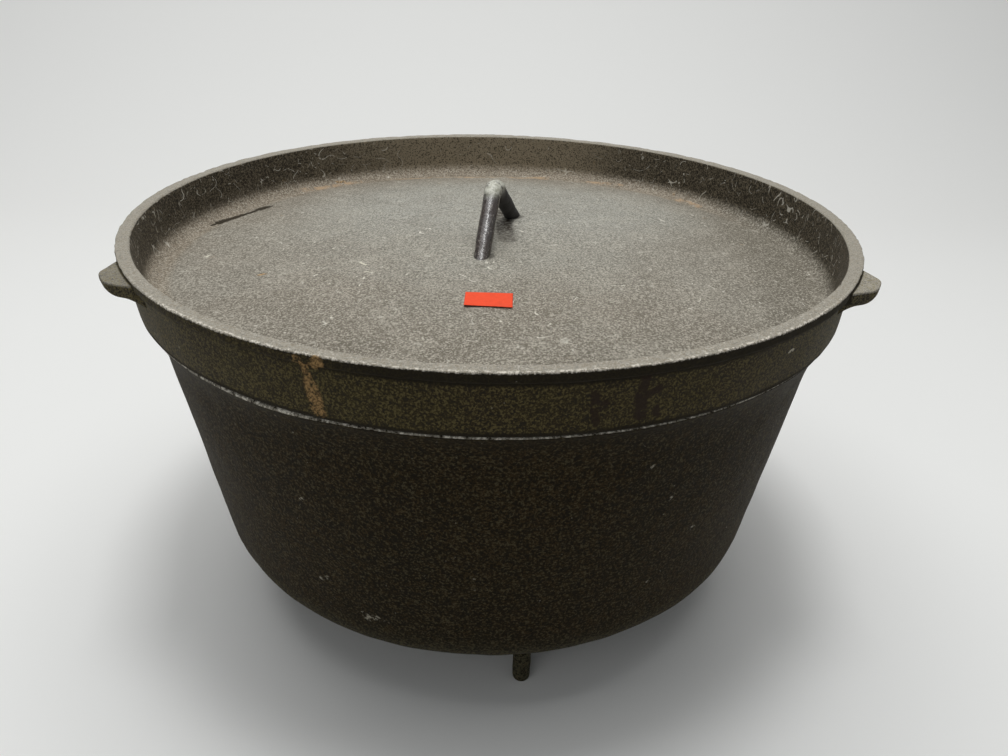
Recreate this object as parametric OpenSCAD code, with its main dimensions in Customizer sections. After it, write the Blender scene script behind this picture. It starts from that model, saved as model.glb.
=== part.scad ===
// A cast iron camp oven: a tapered pot on three peg feet, under a flanged lid that
// holds embers. A bent round bar, set in the lid's plate, is the lid's handle.
// Millimetres, +Z up. The origin is on the pot's axis, level with the tips of the feet.
// The front is -Y and the right-hand side is +X.

/* [Pot] */
// Inside diameter of the mouth
mouth_d = 307.4; // [270:0.2:340]
// Inside depth, from the rim down to the floor
pot_depth = 128; // [95:1:160]
// Thickness of the side wall
wall_t = 5; // [3.5:0.1:8]
// Thickness of the floor
floor_t = 5.5; // [3.5:0.1:9]
// Lean of the side wall from the vertical, in degrees
wall_lean = 9.5; // [5:0.1:13]
// Outside radius of the turn from the wall to the floor
corner_r = 20; // [12:0.5:26]
// How far the rim flares out past the wall's line
flare_out = 4; // [2.5:0.1:6]
// Height over which the rim flares
flare_h = 20; // [12:1:30]

/* [Feet] */
// Height of the feet
foot_h = 30.2; // [18:0.2:45]
// Diameter of a foot at its tip
foot_tip_d = 7.8; // [6:0.1:10]
// Diameter of a foot's shank where its flare starts
foot_neck_d = 9.2; // [7:0.1:12]
// Diameter of a foot's flare against the floor of the pot
foot_root_d = 13; // [12.5:0.5:22]
// Direction of the front foot round the axis, in degrees from +X
foot_turn = -81.2; // [-110:0.1:-60]

/* [Lid] */
// Height of the lid from its seat to the top of its lip
flange_h = 27; // [20:0.5:40]
// How far the flange's foot stands out past the pot's rim
band_step = 0.5; // [-0.5:0.1:2]
// Lean of the flange's outer face from the vertical, in degrees
band_lean = 6.2; // [2:0.1:9]
// Lean of the flange's inner face from the vertical, in degrees
inner_lean = 7.8; // [4:0.1:10]
// How far the lip stands out past the flange's outer face
lip_out = 2.3; // [2.1:0.1:4]
// Height of the lip
lip_h = 4.4; // [3.5:0.1:8]
// Thickness of the flange's wall under the lip
flange_t = 3.1; // [2.6:0.1:6]
// Radius of the hollow between the flange and the plate
valley_r = 7.5; // [4:0.5:9]
// Height of the plate's top over the seat where its line meets the flange
plate_edge_h = 2.7; // [2:0.1:6]
// Rise of the domed plate from there to its centre
plate_rise = 10.3; // [5:0.1:16]
// Thickness of the plate
plate_t = 4.5; // [3.5:0.1:7]
// Depth of the locating ring below the seat
ring_depth = 3; // [2.4:0.1:6]
// Thickness of the locating ring
ring_t = 5; // [3:0.1:8]
// Clearance between the locating ring and the pot's mouth
ring_gap = 1.4; // [0.8:0.1:3]
// Clearance between the lid's seat and the pot's rim
seat_gap = 0.3; // [0.2:0.05:0.6]

/* [Lugs] */
// How far a lug reaches out past the lip
lug_reach = 8; // [4:0.5:16]
// Width of a lug across its tip
lug_tip_w = 12; // [10.5:0.5:20]
// Width of a lug at the lip
lug_root_w = 32; // [24:1:44]
// Thickness of a lug behind its rounded nose
lug_tip_t = 5.4; // [3:0.1:6]
// Thickness of a lug at the flange
lug_root_t = 9.5; // [9:0.5:16]
// Drop of a lug's top below the top of the lip
lug_drop = 1.8; // [1.5:0.1:3]
// Direction of the rear lug round the axis, in degrees from +X
lug_turn = 91.5; // [60:0.5:120]

/* [Handle] */
// Diameter of the handle's bar at the top of its bend
bar_d = 8.4; // [6:0.1:11]
// Diameter of the bar at its ends
bar_end_d = 7.4; // [5:0.1:10]
// Distance between the legs where they enter the plate
handle_span = 65; // [54:0.5:90]
// Height of the handle from the plate's centre to the top of the bar
handle_h = 26.6; // [25:0.1:45]
// Radius of the bend along the bar's centre
bend_r = 10.3; // [8:0.1:16]
// Turn of the handle about the vertical, in degrees, from lying along Y
handle_turn = -13.2; // [-45:0.1:45]
// Sideways lean of the handle from the upright, in degrees, to the left where it lies along Y
handle_tip = 5.9; // [-15:0.1:15]
// Offset of the handle's middle to the right
handle_x = 2.8; // [-10:0.1:10]
// Offset of the handle's middle to the rear
handle_y = 7; // [-10:0.1:10]
// Depth to which the bar's ends are set in the plate, along the bar
socket_depth = 9; // [6:0.5:12]
// Clearance between the bar and its sockets
socket_gap = 0.1; // [0.05:0.05:0.3]
// Metal round the sockets under the plate
boss_skin = 3; // [2:0.1:6]

/* [Label] */
// Width of the label
label_w = 20; // [15:0.5:40]
// Length of the label, front to rear
label_l = 13.6; // [10:0.1:30]
// Thickness of the label
label_t = 0.2; // [0.1:0.05:0.5]
// Distance of the label's middle from the axis, towards the front
label_front = 72.7; // [50:0.1:110]
// Offset of the label's middle to the right
label_right = -1; // [-10:0.1:10]
// Turn of the label about the vertical, in degrees
label_turn = -1.5; // [-20:0.5:20]

/* [Hidden] */

// Fineness of the curves
$fn = 180;
round_steps = 6;
dome_steps = 12;
flare_steps = 8;

// Small radii on the castings
rim_round = 0.8;
mouth_round = 1.5;
lip_round = 1.7;
lip_under_round = 1.2;
lip_root_round = 0.8;
band_foot_round = 1.7;
ring_round = 1;
ring_root_round = 0.8;
foot_round = 2;

// Pot: heights and radii
floor_z = foot_h + floor_t;
rim_z = floor_z + pot_depth;
mouth_r = mouth_d / 2;
wall_across = wall_t / cos(wall_lean);
rim_r = mouth_r + wall_across + flare_out;
bottom_corner = outer_line(foot_h);
flat_r = bottom_corner - corner_r * tan((90 - wall_lean) / 2);

// Feet: the flare ends just inside the flat of the pot's underside
foot_edge = 0.3;
foot_land = 0.5;
foot_ring_r = flat_r - foot_edge - foot_root_d / 2;
foot_fillet = (foot_root_d - foot_neck_d) * 0.45;

// Lid: heights over its seat, and radii
seat_z = rim_z + seat_gap;
ring_r = mouth_r - ring_gap;
band_foot_r = rim_r + band_step;
lip_z = flange_h - lip_h;
band_top_r = band_foot_r + lip_z * tan(band_lean);
lip_r = band_top_r + lip_out;
lip_in_r = band_top_r - flange_t;
edge_r = lip_in_r - (flange_h - plate_edge_h) * tan(inner_lean);
crown_h = plate_edge_h + plate_rise;
dome_r = (pow(edge_r, 2) + pow(plate_rise, 2)) / (2 * plate_rise);

// Lugs: rooted inside the flange's wall
lug_top = flange_h - lug_drop;
lug_tip_r = lip_r + lug_reach;
lug_root_r = lip_in_r + flange_t / 3;
lug_tip_round = 7.5;
lug_edge_round = 0.8;
lug_nose_flat = 0.2;
lug_nose_round = lug_tip_t - lug_edge_round - lug_nose_flat;
lug_steps = 8;

// Handle: legs tangent to the bend, aimed at the two points where they enter the plate
bar_top = handle_h - bar_d / 2;
bend_h = bar_top - bend_r;
half_span = handle_span / 2;
leg_lean = atan2(bend_h, half_span) + asin(bend_r / norm([half_span, bend_h]));
leg_len = sqrt(pow(half_span, 2) + pow(bend_h, 2) - pow(bend_r, 2));
leg_bite = 0.4;
leg_top_d = bar_d - 0.1;
socket_run = socket_depth * cos(leg_lean);
boss_r = socket_run / 2 + bar_end_d / 2 + boss_skin;
boss_draft = 2;
boss_low = socket_depth * sin(leg_lean) + bar_end_d / 2 * cos(leg_lean) + boss_skin;

// Label: flat on the dome's highest line under it
label_gap = 0.05;

// Radius of the line of the pot's outer wall at height z, without the flare
function outer_line(z) = mouth_r + wall_across - (rim_z - z) * tan(wall_lean);

// Radius of the pot's inner wall at height z
function inner_line(z) = mouth_r - (rim_z - z) * tan(wall_lean);

// Radius of the flared wall at a depth below the rim
function flared(depth) = outer_line(rim_z - depth) + flare_out * pow(1 - depth / flare_h, 2);

// Height of the plate's domed top over the seat, at a distance from the axis
function dome(r) = crown_h - dome_r + sqrt(pow(dome_r, 2) - r * r);

// Unit vector
function unit(v) = v / norm(v);

// Points of the arc of radius r that rounds the corner at b, between a and c
function corner_arc(a, b, c, r) =
    let (
        u = unit(a - b),
        v = unit(c - b),
        half = acos(u * v) / 2,
        middle = b + unit(u + v) * r / sin(half),
        first = b + u * r / tan(half) - middle,
        last = b + v * r / tan(half) - middle,
        start = atan2(first.y, first.x),
        turn = atan2(first.x * last.y - first.y * last.x, first * last)
    )
    [for (i = [0:round_steps]) let (t = start + turn * i / round_steps) middle + r * [cos(t), sin(t)]];

// Outline through corners [x, y, radius], each rounded by its radius. A radius of 0 stays sharp.
function rounded(corners) =
    let (n = len(corners), flat = [for (p = corners) [p.x, p.y]])
    [for (i = [0:n - 1]) each corners[i][2] == 0
        ? [flat[i]]
        : corner_arc(flat[(i + n - 1) % n], flat[i], flat[(i + 1) % n], corners[i][2])];

// Solid of revolution of an outline of [radius, height, corner radius]
module revolved(corners) {
    rotate_extrude() polygon(rounded(corners));
}

module pot() {
    color([0.15, 0.13, 0.12])
    revolved(concat(
        [[0, foot_h, 0], [bottom_corner, foot_h, corner_r]],
        [for (i = [flare_steps:-1:1]) let (d = flare_h * i / flare_steps) [flared(d), rim_z - d, 0]],
        [[rim_r, rim_z, rim_round], [mouth_r, rim_z, mouth_round]],
        [[inner_line(floor_z), floor_z, corner_r - wall_t], [0, floor_z, 0]]
    ));
}

// One foot: a rounded peg whose shank widens up to a flare on the pot's underside
module foot(turn) {
    land_z = foot_h - foot_land;
    color([0.13, 0.11, 0.10])
    rotate([0, 0, foot_turn + turn])
    translate([foot_ring_r, 0, 0])
    revolved([
        [0, 0, 0],
        [foot_tip_d / 2, 0, foot_round],
        [foot_neck_d / 2, land_z, foot_fillet],
        [foot_root_d / 2, land_z, 0],
        [foot_root_d / 2, foot_h, 0],
        [0, foot_h, 0]
    ]);
}

module front_foot() {
    foot(0);
}

module right_foot() {
    foot(120);
}

module left_foot() {
    foot(240);
}

// Plate, flange, lip, seat and locating ring, as one outline over the seat
module lid_casting() {
    ring_in = ring_r - ring_t;
    revolved(concat(
        [for (i = [0:dome_steps - 1]) let (r = ring_in * i / dome_steps) [r, dome(r) - plate_t, 0]],
        [[ring_in, dome(ring_in) - plate_t, ring_root_round]],
        [[ring_in, -ring_depth, ring_round], [ring_r, -ring_depth, ring_round], [ring_r, 0, ring_root_round]],
        [[band_foot_r, 0, band_foot_round], [band_top_r, lip_z, lip_root_round]],
        [[lip_r, lip_z, lip_under_round], [lip_r, flange_h, lip_round], [lip_in_r, flange_h, lip_round]],
        [[edge_r, plate_edge_h, valley_r]],
        [for (i = [dome_steps - 1:-1:0]) let (r = edge_r * i / dome_steps) [r, dome(r), 0]]
    ));
}

// Side view of a lug: flat top, a nose rounded from below, and an underside that is level for one
// thickness behind the tip and then sweeps down into the flange
function lug_side() =
    let (
        low = lug_top - lug_tip_t,
        fall = lug_root_t - lug_tip_t,
        run = lug_tip_r - lug_tip_t - lug_root_r
    )
    concat(
        [[lug_root_r, lug_top, 0]],
        [for (i = [0:lug_steps]) let (t = i / lug_steps) [lug_root_r + run * t, low - fall * pow(1 - t, 2), 0]],
        [[lug_tip_r, low, lug_nose_round], [lug_tip_r, lug_top, lug_edge_round]]
    );

// A lug is its plan, extruded, and its side view, revolved, where the two meet
module lug() {
    lip_x = sqrt(pow(lip_r, 2) - pow(lug_root_w / 2, 2));
    back_x = lip_x - lip_out - flange_t;
    spread = (lug_root_w - lug_tip_w) / 2 / (lug_tip_r - lip_x);
    back_w = lug_tip_w + 2 * spread * (lug_tip_r - back_x);
    plan = rounded([
        [back_x, -back_w / 2, 0],
        [lug_tip_r, -lug_tip_w / 2, lug_tip_round],
        [lug_tip_r, lug_tip_w / 2, lug_tip_round],
        [back_x, back_w / 2, 0]
    ]);
    intersection() {
        translate([0, 0, lug_top - lug_root_t])
        linear_extrude(lug_root_t)
        polygon(plan);
        revolved(lug_side());
    }
}

// Turns what stands over the seat, in line with Y, into the handle's place, tipped to its side
module at_handle(tip = handle_tip) {
    translate([handle_x, handle_y, crown_h])
    rotate([0, 0, handle_turn])
    rotate([0, -tip, 0])
    children();
}

// Puts what lies along +X from the handle's middle where each leg is
module at_legs(tip = handle_tip) {
    at_handle(tip)
    for (side = [-90, 90])
        rotate([0, 0, side])
        children();
}

// Leans what stands along -Z from the plate into the line of a leg
module down_leg() {
    translate([half_span, 0, 0])
    rotate([0, leg_lean - 90, 0])
    children();
}

// An upright boss under the plate, round the end of a leg
module boss() {
    translate([half_span + socket_run / 2, 0, -boss_low])
    cylinder(h = boss_low - plate_t / 2, r1 = boss_r, r2 = boss_r + boss_draft);
}

module socket() {
    depth = socket_depth + socket_gap;
    above = bar_d;
    down_leg()
    translate([0, 0, -depth])
    cylinder(h = depth + above, d = bar_end_d + 2 * socket_gap);
}

module lid() {
    color([0.19, 0.16, 0.13])
    translate([0, 0, seat_z])
    difference() {
        union() {
            lid_casting();
            for (turn = [0, 120, 240])
                rotate([0, 0, lug_turn + turn])
                lug();
            at_legs(0) boss();
        }
        at_legs() socket();
    }
}

// One leg of the handle, from its end in the socket up into the bend
module leg() {
    down_leg() {
        translate([0, 0, -socket_depth])
        cylinder(h = socket_depth + bar_end_d, d = bar_end_d);
        translate([0, 0, bar_end_d])
        cylinder(h = leg_len - bar_end_d + leg_bite, d1 = bar_end_d, d2 = leg_top_d);
    }
}

// The bend over the two legs, as the part of a ring that lies between their tops
module bend() {
    sweep = 2 * leg_lean;
    translate([0, 0, bend_h])
    rotate([90, 0, 0])
    rotate([0, 0, 90 - leg_lean])
    rotate_extrude(angle = sweep)
    translate([bend_r, 0])
    circle(d = bar_d);
}

module lid_handle() {
    color([0.10, 0.08, 0.07])
    translate([0, 0, seat_z])
    union() {
        at_legs() leg();
        at_handle() rotate([0, 0, 90]) bend();
    }
}

module price_label() {
    far = norm([label_right, label_front]);
    slope = asin(far / dome_r);
    color([0.93, 0.33, 0.12])
    translate([label_right, -label_front, seat_z + dome(far) + label_gap])
    rotate([slope, 0, label_turn])
    translate([-label_w / 2, -label_l / 2, 0])
    cube([label_w, label_l, label_t]);
}

pot();
front_foot();
left_foot();
right_foot();
lid();
lid_handle();
price_label();
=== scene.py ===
"""An old cast iron camp oven: pot, peg feet, flanged lid, bent bar handle and price label.

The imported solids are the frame. Each piece here is a surface worked out over a grid, laid where
its solid is, with the unevenness of an old casting, and finished with materials made of nodes.
"""
import math

import bpy
import numpy as np
from bpy.props import FloatProperty, FloatVectorProperty, PointerProperty
from mathutils import Matrix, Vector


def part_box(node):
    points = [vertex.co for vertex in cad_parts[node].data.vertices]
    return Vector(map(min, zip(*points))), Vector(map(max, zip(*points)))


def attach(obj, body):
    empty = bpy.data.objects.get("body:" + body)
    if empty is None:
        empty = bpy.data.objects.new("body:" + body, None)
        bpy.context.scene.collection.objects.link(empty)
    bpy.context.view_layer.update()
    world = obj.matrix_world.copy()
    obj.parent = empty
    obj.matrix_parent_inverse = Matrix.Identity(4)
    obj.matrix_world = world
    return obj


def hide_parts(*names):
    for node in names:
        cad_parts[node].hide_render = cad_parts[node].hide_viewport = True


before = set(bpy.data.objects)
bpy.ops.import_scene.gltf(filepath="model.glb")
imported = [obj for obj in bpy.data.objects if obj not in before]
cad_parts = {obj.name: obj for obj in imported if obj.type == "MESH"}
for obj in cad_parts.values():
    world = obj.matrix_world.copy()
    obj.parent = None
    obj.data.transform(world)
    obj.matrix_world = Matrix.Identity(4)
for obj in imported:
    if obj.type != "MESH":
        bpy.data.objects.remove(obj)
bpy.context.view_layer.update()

bl_info = {
    "name": "Camp Oven",
    "version": (1, 0, 0),
    "blender": (4, 5, 0),
    "location": "3D View > Sidebar > Camp Oven",
    "description": "Builds an old cast iron camp oven and a plain stage for it",
    "category": "Add Mesh",
}

POT_LOW, POT_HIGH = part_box("pot")
LID_LOW, LID_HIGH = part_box("lid")
BAR_LOW, BAR_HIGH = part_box("lid_handle")
LABEL_LOW, LABEL_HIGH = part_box("price_label")
MM = 0.001

# Marks of use and a painted shadow of the handle, in mm: lines from one point to another, each with its width
PLATE_CRACK = (((-148.9, 38.7, 167.4), (-146, 43.5, 167.6), 2.0), ((-146, 43.5, 167.6), (-143.6, 48.6, 167.7), 4.8),
               ((-143.6, 48.6, 167.7), (-141.6, 51, 167.8), 5.4), ((-141.6, 51, 167.8), (-137.4, 57.1, 168), 4.8),
               ((-137.4, 57.1, 168), (-132.3, 63.7, 168.3), 3.2), ((-130.6, 67, 168.4), (-127.4, 71.2, 168.5), 5.0),
               ((-127.4, 71.2, 168.5), (-125.2, 72.8, 168.6), 2.0))
PLATE_STAIN_AND_SHADOW = (((0, 48, 176.8), (5, 30, 176.8), 12.0), ((5, 30, 176.8), (6, 16, 176.8), 10.0),
               ((6, 16, 176.8), (7.7, -1, 176.6), 9.0))
FAR_STREAKS = (((-64, 139, 168), (-20, 148, 168), 3.4), ((-24, 147, 168), (34, 150, 168), 5.0),
               ((-118, 104, 168), (-84, 130, 168), 3.6), ((60, 142, 168), (84, 134, 168), 2.6),
               ((112, 106, 168), (122, 94, 168), 4.0))
RUST_RUNS = (((-60.6, -155.2, 185.5), (-57.6, -153.6, 175), 3.4), ((-58.4, -153.9, 178), (-56.6, -153.4, 168.5), 5.6),
             ((-62.5, -157.5, 188.6), (-60.4, -155.6, 186), 3.4), ((-54.6, -158.8, 188.4), (-56.6, -156.8, 186.6), 4.6))
DARK_RUNS = (((33.7, -161.7, 180.8), (35.1, -160, 168.9), 3.4), ((38, -160.6, 176.4), (34.6, -160.6, 172.5), 2.8),
             ((50.4, -157.7, 184.6), (49.4, -157.4, 178), 4.0), ((49.4, -157.4, 178), (50.6, -155.9, 169.4), 5.0),
             ((56, -155.4, 179.6), (51, -157, 176.8), 3.4), ((55.5, -154.4, 171.4), (56.4, -154.2, 169), 3.2))
TAN_CHIPS = (((-159.3, 10.7, 167.6), (-157.8, 12.4, 167.2), 3.4), ((-159.2, -9.8, 168.4), (-158.6, -7.8, 168.2), 2.4),
             ((148.1, 60, 169.4), (146.4, 63.8, 169), 2.6), ((-103.1, -42.2, 171.9), (-101.4, -41.2, 171.9), 2.2),
             ((-90, 131.8, 168.6), (-82, 137, 168.4), 3.0), ((-97, 124, 168.6), (-93, 127, 168.4), 2.4),
             ((17.5, 158.4, 167.2), (30, 156.4, 167.2), 2.0))
PALE_NICKS = (((-60, -31.7, 175.1), (-57.4, -34.6, 175.1), 1.5), ((-56.1, -43.5, 174.9), (-52.6, -44.6, 174.9), 1.3),
              ((108, -124.5, 178.8), (110.4, -122.6, 179), 1.4), ((-135.9, -13.9, 169.4), (-134.8, -12.6, 169.4), 1.4),
              ((-8.6, -24, 176.7), (-7.9, -23.2, 176.7), 1.5), ((138.7, 79.4, 170.2), (139.6, 78.2, 170.2), 1.4))
BODY_SCUFFS = (((-68.4, -125.6, 70.6), (-64.8, -127.4, 72.4), 2.6), ((-49.8, -131, 54.4), (-45.2, -132.6, 56.2), 4.0),
               ((-52, -130, 57.6), (-40, -134, 55.2), 1.0), ((69.8, -134.2, 119.7), (71.2, -133.4, 121.4), 1.8),
               ((58.6, -143, 139.3), (60, -142.4, 140.6), 1.6), ((83.1, -121.4, 95.6), (84.2, -120.6, 97.2), 1.6),
               ((-13.7, -147.2, 99.7), (-12.4, -147.3, 100.8), 1.5), ((-71.9, -132.2, 115.5), (-70.6, -133, 116.4), 1.5))
BODY_HAIR = (((96, -127, 152), (99, -125.5, 146), 0.5), ((99, -125.5, 146), (104, -120, 143), 0.5))


# Properties

def length(name, description, default):
    """A length in metres, for the panel."""
    return FloatProperty(name=name, description=description, default=default, min=0.0,
                         unit="LENGTH", subtype="DISTANCE", precision=5)


def turn(name, description, degrees):
    """An angle, given in degrees and kept in radians."""
    return FloatProperty(name=name, description=description, default=math.radians(degrees),
                         unit="ROTATION", subtype="ANGLE")


def tint(name, description, default):
    """A colour without alpha."""
    return FloatVectorProperty(name=name, description=description, default=default, size=3,
                               min=0.0, max=1.0, subtype="COLOR")


class CampOvenPot(bpy.types.PropertyGroup):
    rim_radius: length("Rim radius", "Outside radius of the rim", POT_HIGH.x)
    rim_height: length("Rim height", "Height of the rim over the ground", POT_HIGH.z)
    foot_height: length("Foot height", "Height of the pot's underside", POT_LOW.z)
    wall: length("Wall", "Thickness of the side wall", 5.0 * MM)
    floor: length("Floor", "Thickness of the floor", 5.5 * MM)
    lean: turn("Lean", "Lean of the side wall from the vertical", 9.5)
    corner: length("Corner", "Outside radius between wall and floor", 20.0 * MM)
    flare: length("Flare", "How far the rim flares out past the wall", 4.0 * MM)
    flare_height: length("Flare height", "Height over which the rim flares", 20.0 * MM)
    ledge: length("Ledge", "How far the rim stands out under the lid on the left of the front", 0.8 * MM)
    uneven: length("Unevenness", "Size of the casting's slow waves", 0.20 * MM)
    foot_tip: length("Foot tip", "Radius of a foot at its tip", 3.9 * MM)
    foot_neck: length("Foot neck", "Radius of a foot's shank under its flare", 4.6 * MM)
    foot_root: length("Foot root", "Radius of a foot's flare", 6.5 * MM)


class CampOvenLid(bpy.types.PropertyGroup):
    lip_radius: length("Lip radius", "Outside radius of the lip", LID_HIGH.x)
    lip_height: length("Lip height", "Height of the top of the lip", LID_HIGH.z)
    flange: length("Flange height", "Height from the seat to the top of the lip", 27.0 * MM)
    lip_out: length("Lip overhang", "How far the lip stands out past the flange", 2.3 * MM)
    lip_deep: length("Lip depth", "Height of the lip itself", 4.4 * MM)
    wall: length("Flange wall", "Thickness of the flange under the lip", 3.5 * MM)
    band_lean: turn("Band lean", "Lean of the flange's outer face", 6.2)
    inner_lean: turn("Inner lean", "Lean of the flange's inner face", 7.8)
    valley: length("Valley", "Radius of the hollow between flange and plate", 7.5 * MM)
    edge: length("Plate edge", "Height over the seat where plate and flange meet", 2.7 * MM)
    rise: length("Plate rise", "Rise of the domed plate to its centre", 10.3 * MM)
    plate: length("Plate", "Thickness of the plate", 4.5 * MM)
    ring_radius: length("Ring radius", "Outside radius of the locating ring", 152.3 * MM)
    ring_deep: length("Ring depth", "Depth of the locating ring", 3.0 * MM)
    ring_wall: length("Ring wall", "Thickness of the locating ring", 5.0 * MM)
    uneven: length("Unevenness", "Size of the casting's slow waves", 0.22 * MM)
    chips: length("Chips", "Depth of the nicks along the lip's edges", 0.28 * MM)
    lug_reach: length("Lug reach", "How far a lug stands out past the lip", 8.0 * MM)
    lug_root: length("Lug root", "Width of a lug at the lip", 32.0 * MM)
    lug_tip: length("Lug tip", "Width of a lug across its tip", 12.0 * MM)
    lug_thin: length("Lug thickness", "Thickness of a lug behind its rounded nose", 5.4 * MM)
    lug_deep: length("Lug root thickness", "Thickness of a lug at the flange", 9.5 * MM)
    lug_drop: length("Lug drop", "Drop of a lug's top below the lip", 1.8 * MM)
    lug_turn: turn("Lug turn", "Direction of the rear lug from +X", 91.5)


class CampOvenHandle(bpy.types.PropertyGroup):
    bar: length("Bar radius", "Radius of the bar at its bend", 4.2 * MM)
    bar_end: length("Bar end radius", "Radius of the bar at its ends", 3.7 * MM)
    span: length("Span", "Distance between the legs at the plate", 65.0 * MM)
    height: length("Height", "Height of the bar's top over the plate", 26.6 * MM)
    bend: length("Bend", "Radius of the bend along the bar's centre", 10.3 * MM)
    socket: length("Socket", "Depth of the ends in the plate", 9.0 * MM)
    skin: length("Boss skin", "Metal round the sockets under the plate", 3.0 * MM)
    right: length("Right", "Offset of the handle's middle to the right", 2.8 * MM)
    rear: length("Rear", "Offset of the handle's middle to the rear", 7.0 * MM)
    rotation: turn("Rotation", "Turn of the handle from lying along Y", -13.2)
    tip: turn("Tip", "Sideways lean of the handle to the left", 5.9)
    pits: length("Pits", "Depth of the bar's pits and hammer marks", 0.16 * MM)


class CampOvenLabel(bpy.types.PropertyGroup):
    width: length("Width", "Width of the label", 20.0 * MM)
    depth: length("Depth", "Length of the label, front to rear", 13.6 * MM)
    paper: length("Paper", "Thickness of the paper", 0.15 * MM)
    lift: length("Lift", "How far the front edge has come up", 0.75 * MM)
    rotation: turn("Rotation", "Turn of the label", -1.5)


class CampOvenColours(bpy.types.PropertyGroup):
    body: tint("Body", "Seasoned iron of the pot", (0.0155, 0.0110, 0.0050))
    body_warm: tint("Body, warm", "Browner patches of the pot", (0.027, 0.0180, 0.0080))
    band: tint("Band", "Olive black of the flange's outer face", (0.034, 0.0262, 0.0080))
    # Soot is also the black of painted shade: under the lid, on the inner wall's left and right, under the lip and at
    # the seam.
    soot_and_shade: tint("Soot", "Black of the deepest grime", (0.010, 0.008, 0.005))
    # The plate's pale greys are partly painted sheen: the plate is the same dark iron as the band.
    plate: tint("Plate", "Cool grey of the lid's plate", (0.266, 0.260, 0.226))
    plate_warm: tint("Plate, warm", "Brown grey towards the plate's edge", (0.208, 0.184, 0.148))
    # Plate, dark also gives the plate its painted shade at the front and on the right.
    plate_dark_and_shade: tint("Plate, dark", "Darker grains of the plate", (0.11, 0.098, 0.075))
    valley: tint("Valley", "Tan brown of the hollow round the plate", (0.26, 0.205, 0.145))
    wall: tint("Inner wall", "Dark brown of the flange's inner face", (0.066, 0.055, 0.038))
    worn: tint("Worn edge", "Bare grey metal on worn edges", (0.48, 0.45, 0.38))
    rust: tint("Rust", "Light orange brown rust", (0.46, 0.29, 0.125))
    dust: tint("Dust", "Pale specks and scuffs", (0.60, 0.57, 0.47))
    bar: tint("Bar", "Glossy brown black of the handle", (0.016, 0.011, 0.009))
    label: tint("Label", "Orange paper", (0.78, 0.058, 0.008))


class CampOvenStage(bpy.types.PropertyGroup):
    floor: tint("Floor", "Pale floor and backdrop, as the camera and reflections see them", (0.86, 0.865, 0.85))
    floor_bounce: tint("Floor bounce", "Floor as the light it throws back sees it", (0.30, 0.28, 0.25))
    lens: FloatProperty(name="Lens", description="Focal length on a 36 mm sensor, in mm",
                        default=850.27 / 1008 * 36, min=10.0, max=200.0)
    top_light: FloatProperty(name="Top light", description="Power of the lamp above and behind",
                             default=25.0, min=0.0, subtype="POWER")
    small_light: FloatProperty(name="Small light", description="Power of the smaller lamp straight above",
                               default=5.0, min=0.0, subtype="POWER")
    fill_light: FloatProperty(name="Fill light", description="Power of the soft lamp in front",
                              default=2.5, min=0.0, subtype="POWER")
    sky: FloatProperty(name="Sky", description="Strength of the even light all round",
                       default=0.20, min=0.0, max=2.0)


# Surfaces

def rounded(corners, steps=8):
    """An outline through corners (r, z, radius), each rounded by the arc that touches both its sides.

    The arc's centre lies on the corner's bisector at radius / sin(half angle) from the corner.
    """
    corners = [np.array(c, float) for c in corners]
    out = []
    for i, (x, y, radius) in enumerate(corners):
        here = np.array([x, y])
        if radius <= 0 or i in (0, len(corners) - 1):
            out.append(here[None])
            continue
        back = corners[i - 1][:2] - here
        ahead = corners[i + 1][:2] - here
        back, ahead = back / np.linalg.norm(back), ahead / np.linalg.norm(ahead)
        half = math.acos(np.clip(back @ ahead, -1, 1)) / 2
        middle = here + (back + ahead) / np.linalg.norm(back + ahead) * radius / math.sin(half)
        first = here + back * radius / math.tan(half) - middle
        last = here + ahead * radius / math.tan(half) - middle
        start = math.atan2(first[1], first[0])
        swing = math.atan2(first[0] * last[1] - first[1] * last[0], first @ last)
        a = start + swing * np.linspace(0, 1, steps)
        out.append(middle + radius * np.stack([np.cos(a), np.sin(a)], 1))
    return np.concatenate(out)


def spaced(outline, spacing):
    """The outline with points added so that no side is longer than spacing(r, z) asks there."""
    out = [outline[:1]]
    for a, b in zip(outline[:-1], outline[1:]):
        far = np.linalg.norm(b - a)
        if far < 1e-7:
            continue
        n = max(1, int(math.ceil(far / spacing(*(a + b) / 2))))
        out.append(a + (b - a) * (np.arange(1, n + 1) / n)[:, None])
    return np.concatenate(out)


def outward(outline):
    """Unit normals of an outline that runs with the metal on its left: the side (dr, dz) turned right."""
    side = np.gradient(outline, axis=0)
    normal = np.stack([side[:, 1], -side[:, 0]], 1)
    return normal / np.maximum(np.linalg.norm(normal, axis=1, keepdims=True), 1e-12)


def waves(points, size, seed, count=22):
    """A smooth field of lumps about size across: the sum of count cosines along random directions.

    Each cosine is cos(k . p + phase), with |k| near 2 pi / size, and the sum is scaled to unit spread.
    """
    rng = np.random.default_rng(seed)
    k = rng.normal(size=(3, count))
    k *= 2 * np.pi / size * rng.uniform(0.6, 1.4, count) / np.linalg.norm(k, axis=0)
    phase = rng.uniform(0, 2 * np.pi, count)
    flat = points.reshape(-1, 3)
    return (np.cos(flat @ k + phase).sum(1) * math.sqrt(2 / count)).reshape(points.shape[:-1])


def grid_faces(rows, columns, wrap=True):
    """Corners of the four-sided faces of a grid of rows by columns, whose columns may close on themselves."""
    across = columns if wrap else columns - 1
    i, j = np.meshgrid(np.arange(rows - 1), np.arange(across), indexing="ij")
    k = (j + 1) % columns
    return np.stack([i * columns + j, i * columns + k, (i + 1) * columns + k,
                     (i + 1) * columns + j], -1).reshape(-1, 4)


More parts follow.
